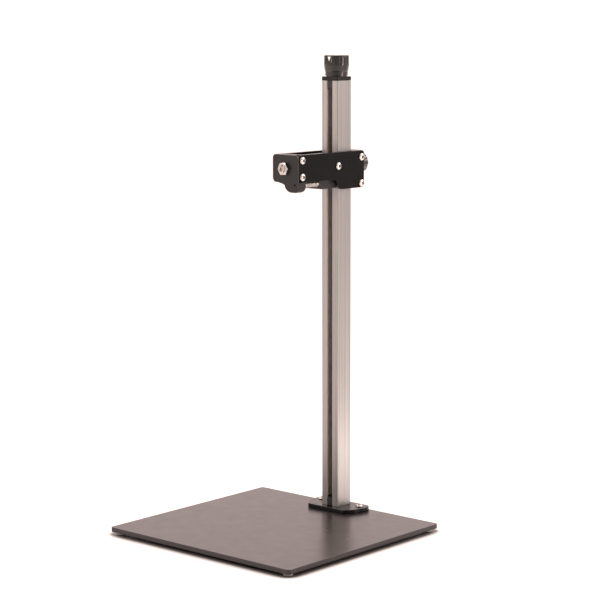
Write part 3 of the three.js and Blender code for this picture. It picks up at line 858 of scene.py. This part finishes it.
def build_side_plates():
    step = SKIRT_DEPTH - ARM_HALF_HEIGHT
    front, back, skirt = -109.2, ARM_BACK, -15
    points = outline([
        (front, -ARM_HALF_HEIGHT, 7), (skirt - step, -ARM_HALF_HEIGHT, 2), (skirt, -SKIRT_DEPTH, 3),
        (back, -SKIRT_DEPTH, 5), (back, ARM_HALF_HEIGHT, 5), (front, ARM_HALF_HEIGHT, 7),
    ], 10)
    screw = button_screw(shank=14.5)
    for side, name in ((-1, "left"), (1, "right")):
        low, high = sorted((side * SIDE_INNER, side * SIDE_OUTER))
        holes = [bar("x", SCREW_CLEARANCE, low - 1, high + 1, spot) for spot in SIDE_SCREWS.values()]
        plate = soften(cut(prism("x", points, low, high), *holes), 0.55)
        place(plate, f"side_plate_{name}_look", "carriage", LOOKS["plate_black"], ON_ARM)
        for index, (spot, (y, z)) in enumerate(SIDE_SCREWS.items()):
            node = f"side_screw_{name}_{spot}"
            spin = Matrix.Rotation(math.radians(17 * index + 5), 4, "Z")  # each socket points its own way
            place(copy_of(screw), f"{node}_look", "carriage", LOOKS["bright"],
                  (side * SIDE_OUTER, COLUMN_Y + y, ARM_Z + z),
                  turn=Matrix.Rotation(side * math.pi / 2, 4, "Y") @ spin)
    discard(screw)


def front_face(half):
    """The front block's face in Z and X: a rectangle with a boss hanging under its right half."""
    h = ARM_HALF_HEIGHT
    corner, top, lower = (BOSS_CORNER, 5, 6.5) if half > BLOCK_HALF else (0, 1, 1)
    points = arc((h - top, -half + top), top, -90, 0, 8)
    points += arc((h - top, half - top), top, 0, 90, 8)
    if corner:
        points += arc((BOSS_BOTTOM + corner, half - corner), corner, 90, 180, 8)
    else:
        points.append((BOSS_BOTTOM, half))
    points += arc((BOSS_BOTTOM + BOSS_RADIUS, BOSS_CENTRE), BOSS_RADIUS, 180, 180 * 1.42, 18)
    start = Vector(points[-1])
    control, end = Vector((-h - 1.6, BOSS_CENTRE - BOSS_RADIUS - 2.5)), Vector((-h, -14))
    for k in range(1, 9):
        t = k / 8
        points.append(tuple((1 - t) ** 2 * start + 2 * t * (1 - t) * control + t * t * end))
    points += arc((-h + lower, -half + lower), lower, -180, -90, 8)
    return points


def build_front_block():
    lip = 5
    face = prism("y", front_face(SIDE_OUTER), BLOCK_FRONT, BLOCK_FRONT + lip)
    core = prism("y", front_face(BLOCK_HALF), BLOCK_FRONT + 1, BLOCK_BACK)
    boss_points = [(BOSS_BOTTOM, BLOCK_HALF - 3), (BOSS_BOTTOM, SIDE_OUTER, BOSS_CORNER),
                   (-ARM_HALF_HEIGHT - 0.3, SIDE_OUTER), (-ARM_HALF_HEIGHT - 0.3, BLOCK_HALF - 3)]
    boss = prism("y", outline(boss_points), BLOCK_FRONT + 1, BLOCK_BACK)
    holes = side_holes("front_upper", "front_lower")
    heel = 9
    corner_points = arc((BLOCK_BACK - heel, BOSS_BOTTOM + heel), heel, -90, 0, 10)
    corner_points += [(BLOCK_BACK + 1, BOSS_BOTTOM + heel), (BLOCK_BACK + 1, BOSS_BOTTOM - 1),
                      (BLOCK_BACK - heel, BOSS_BOTTOM - 1)]
    under_heel = prism("x", corner_points, -SIDE_OUTER - 1, SIDE_OUTER + 1)
    stud_hole = bar("y", 5.2, -130, -80)
    rod_hole = bar("y", 3.1, BLOCK_FRONT + 6.7, -80, (BOSS_Z, BOSS_X))
    small_hole = bar("y", 1.5, -130, BLOCK_FRONT + 6, (-23, 19))
    front_block = cut(join(face, core, boss), under_heel, stud_hole, rod_hole, small_hole, *holes)
    place(soften(front_block, 0.6), "front_block_look", "carriage", LOOKS["block_black"],
          ON_ARM)
    build_stud()


def build_stud():
    """The stud through the block, and its nut with chamfered corners and a countersunk hole."""

    nut_low, nut_high = box_mm("mounting_nut")
    thick = nut_high[1] - nut_low[1]
    nut = hexagon("z", 17, 0, thick, turn=30)
    cone, thread_hole = 9.9, 4.6
    envelope = turned("z", [(0, 0), (8.1, 0), (cone, 1.1), (cone, thick - 0.6), (9.1, thick), (0, thick)],
                      segments=96)
    nut = combine(nut, [envelope], "INTERSECT")
    hole = [(0, -1), (6.6, -1), (5.0, 0.7), (thread_hole, thick), (thread_hole, thick + 1), (0, thick + 1)]
    nut = cut(nut, turned("z", hole))
    flip = along("y") @ Matrix.Rotation(math.radians(-4), 4, "Z")
    place(soften(nut, 0.12, 2), "mounting_nut_look", "carriage", LOOKS["bright"],
          (0, nut_low[1], ARM_Z), turn=flip)
    stud_low, stud_high = box_mm("mounting_stud")
    stud = thread(4.9, 0, stud_high[1] - stud_low[1], 1.5)
    place(stud, "mounting_stud_look", "carriage", LOOKS["bright"], (0, stud_low[1], ARM_Z),
          turn=along("y"))


def build_guides():
    front, back, low, high = -40, -COLUMN_HALF - 0.35, -12, 17
    key_slot = block(-4.9, 4.9, -22.6, 0, -10.4, 10.4)
    seat, wide, narrow = -34.5, 5, 2.9  # the nut screw's head and shank
    screw_hole = turned("y", [(0, -50), (wide, -50), (wide, seat), (narrow, seat), (narrow, 0), (0, 0)])
    guide = cut(block(-BLOCK_HALF, BLOCK_HALF, front, back, low, high), key_slot, screw_hole,
                *side_holes("middle"))
    place(soften(guide, 0.5), "front_guide_block_look", "carriage", LOOKS["block_black"],
          ON_ARM)

    half_height, key_half = 12, 4.6
    nut = join(bar("z", 9.3, -half_height, half_height), block(-key_half, key_half, -22.3, -6, -10, 10))
    nut = cut(nut, bar("z", 5.35, -13, 13), bar("y", 2.8, -23, -10.5))
    place(soften(nut, 0.3), "lead_nut_look", "carriage", LOOKS["brass"], ON_ARM)
    place(cap_screw(2.45, 4.2, 4.4, 22.5), "nut_screw_look", "carriage", LOOKS["bright"],
          (0, COLUMN_Y - 34.7, ARM_Z), turn=Matrix.Rotation(math.pi / 2, 4, "X"))

    for node in ("side_pad_left_upper", "side_pad_left_lower", "side_pad_right_upper", "side_pad_right_lower",
                 "rear_pad_upper", "rear_pad_lower"):
        place(soften(block_like(node), 0.25, 2), f"{node}_look", "carriage", LOOKS["slide"])

    front, step, wide, narrow = 17.6, 21, 6.6, 4.25  # the clamp's pad slides in the wide part of the hole
    clamp_hole = turned("y", [(0, 0), (wide, 0), (wide, step), (narrow, step), (narrow, 60), (0, 60)])
    rear = cut(block(-BLOCK_HALF, BLOCK_HALF, front, ARM_BACK, -SKIRT_DEPTH, ARM_HALF_HEIGHT), clamp_hole,
               *side_holes("rear_upper", "rear_lower"))
    place(soften(rear, 0.6), "rear_block_look", "carriage", LOOKS["block_black"], ON_ARM)


# ---------------------------------------------------------------- brake


def build_brake():
    front, bottom, top, half = -58, -33, -14.3, 16.6
    back = depths("brake_shoe")[1]
    points = outline([(front, bottom, 5), (back, bottom), (back, top), (front, top, 2)])
    rod_hole = bar("y", 3.2, -60, -38, (BOSS_Z, BOSS_X))
    shoe = cut(prism("x", points, -half, half), rod_hole)
    place(soften(shoe, 0.5), "brake_shoe_look", "brake", LOOKS["block_black"], ON_ARM)
    for side in ("left", "right"):
        node = f"brake_lining_{side}"
        place(soften(block_like(node), 0.25, 2), f"{node}_look", "brake", LOOKS["slide"])

    low, high = depths("spring_rod")
    rod = soften(bar("y", 2.8, low, high, (BOSS_Z, BOSS_X)), 0.4)
    place(rod, "spring_rod_look", "carriage", LOOKS["ground"], ON_ARM)
    build_spring()


def build_spring():
    """A closed-end compression spring."""
    low, high = depths("brake_spring")
    wire, mean, turns = 0.6, 3.8, 13  # radius of the wire, radius of the coil
    steps, sides = turns * 28, 10
    total = high - low - 2 * wire

    def height(share):
        """Close-wound for one turn at each end."""
        end = 1 / turns
        rise = 2 * wire
        if share < end:
            return rise * share / end
        if share > 1 - end:
            return total - rise * (1 - share) * turns
        return rise + (share - end) / (1 - 2 * end) * (total - 2 * rise)

    def make(bm):
        rings = []
        for k in range(steps + 1):
            share = k / steps
            angle = 2 * math.pi * turns * share
            radial = Vector((math.cos(angle), math.sin(angle), 0))
            centre = radial * mean + Vector((0, 0, low + wire + height(share)))
            rings.append([bm.verts.new(centre + wire * (radial * math.cos(a) + Vector((0, 0, math.sin(a)))))
                          for a in (2 * math.pi * i / sides for i in range(sides))])
        for a, b in zip(rings, rings[1:]):
            bridge(bm, a, b)
        bm.faces.new(rings[0])
        bm.faces.new(rings[-1])
        bm.transform(Matrix.Translation((BOSS_X, 0, BOSS_Z)) @ along("y"))
    spring = new_object(make)
    spring.data.shade_smooth()
    spring.name = spring.data.name = "brake_spring_look"
    spring.data.transform(Matrix.Scale(0.001, 4) @ Matrix.Translation(ON_ARM))
    spring.data.materials.append(LOOKS["bright"])
    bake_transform(spring)
    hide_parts("brake_spring")


# ---------------------------------------------------------------- floor, light and camera


WARM_WHITE = (1.0, 0.88, 0.83)


def build_stage():
    """A white floor in a warm, over-bright studio that is darker where the camera stands."""
    floor = new_object(lambda bm: bmesh.ops.create_grid(bm, x_segments=1, y_segments=1, size=60), "floor")
    floor.data.materials.append(floor_white())
    build_world()

    lights = [  # place, aimed at, side in metres, watts
        ("over_right", (0.85, 1.0, 1.1), (0.75, 0.9, 0), 0.9, 19),
        ("over_left", (-1.2, -1.4, 1.5), (-0.5, -0.6, 0.1), 1.2, 26),
        ("strip_right", (1.9, 0.5, 0.45), (0, 0.1, 0.35), 0.3, 7),
        ("low_right", (0.30, 0.38, 0.03), (0, 0.12, 0.04), 0.05, 0.13),
    ]
    for name, spot, target, size, power in lights:
        data = bpy.data.lights.new(name, "AREA")
        data.shape = "SQUARE"
        data.size = size
        data.energy = power
        data.color = WARM_WHITE
        light = bpy.data.objects.new(name, data)
        light.location = spot
        light.rotation_euler = (Vector(target) - Vector(spot)).to_track_quat("-Z", "Y").to_euler()
        bpy.context.scene.collection.objects.link(light)
    bpy.context.scene.view_settings.view_transform = "Standard"


def floor_white():
    """White, with an imitated contact shadow close to the plate, mostly on the floor in front of it."""
    white, shadow = (0.95, 0.95, 0.95), (0.11, 0.10, 0.095)
    look = Look("floor_white", white, 0.35, specular=0.4)
    look.vary_roughness(look.noise(6, 3), 0.32, 0.40)
    shelter = look.node("ShaderNodeAmbientOcclusion", samples=16)
    shelter.inputs["Distance"].default_value = 0.06
    shelter.inputs["Normal"].default_value = Vector((0.43, 0.77, 0.50)).normalized()
    look.vary_colour(shelter.outputs["AO"], shadow, white, 0.60, 0.92)
    return look.material


def build_world():
    """An even warm white with patches of other colours, each round a direction."""
    world = bpy.data.worlds.new("studio")
    bpy.context.scene.world = world
    world.use_nodes = True
    nodes, links = world.node_tree.nodes, world.node_tree.links
    direction = nodes.new("ShaderNodeTexCoord").outputs["Generated"]
    patches = [  # towards, where it starts, where it is full, colour
        ((0.55, -0.80, 0.35), 0.70, 0.95, (0.40, 0.35, 0.33)),
        ((0.74, 0.64, 0.15), 0.55, 0.92, (1.00, 0.86, 0.82)),
        ((-0.66, 0.75, 0.12), 0.70, 0.97, (1.62, 1.33, 1.27)),
    ]
    colour = None
    for towards, start, full, tone in patches:
        facing = nodes.new("ShaderNodeVectorMath")
        facing.operation = "DOT_PRODUCT"
        facing.inputs[1].default_value = Vector(towards).normalized()
        links.new(direction, facing.inputs[0])
        share = nodes.new("ShaderNodeMapRange")
        share.interpolation_type = "SMOOTHSTEP"
        share.inputs["From Min"].default_value = start
        share.inputs["From Max"].default_value = full
        links.new(facing.outputs["Value"], share.inputs["Value"])
        mix = nodes.new("ShaderNodeMix")
        mix.data_type = "RGBA"
        before, after = [i for i in mix.inputs if i.type == "RGBA"]
        if colour:
            links.new(colour, before)
        else:
            before.default_value = (1.38, 1.17, 1.11, 1)
        after.default_value = (*tone, 1)
        links.new(share.outputs["Result"], mix.inputs["Factor"])
        colour = [o for o in mix.outputs if o.type == "RGBA"][0]
    links.new(colour, nodes["Background"].inputs["Color"])


def build_camera():
    """A long lens at the right front, looking slightly down at the middle of the stand."""
    plate_y = (PLATE_LOW[1] + PLATE_HIGH[1]) / 2000
    target = Vector((0.05025, plate_y, 0.34889))
    azimuth, elevation, distance = math.radians(41.42), math.radians(8.25), 2.8523
    level = math.cos(elevation) * distance
    offset = Vector((level * math.sin(azimuth), -level * math.cos(azimuth), math.sin(elevation) * distance))
    data = bpy.data.cameras.new("camera")
    data.lens = 120.19
    data.sensor_width = 36
    data.clip_end = 100
    camera = bpy.data.objects.new("camera", data)
    roll = Matrix.Rotation(math.radians(-0.115), 4, "Z")
    look = (-offset).to_track_quat("-Z", "Y").to_matrix().to_4x4()
    camera.matrix_world = Matrix.Translation(target + offset) @ look @ roll
    bpy.context.scene.collection.objects.link(camera)
    bpy.context.scene.camera = camera


build_camera()
build_stage()
build_base()
build_column()
build_head()
build_lead_screw()
build_top_knob()
build_side_plates()
build_front_block()
build_guides()
build_brake()
build_clamp()
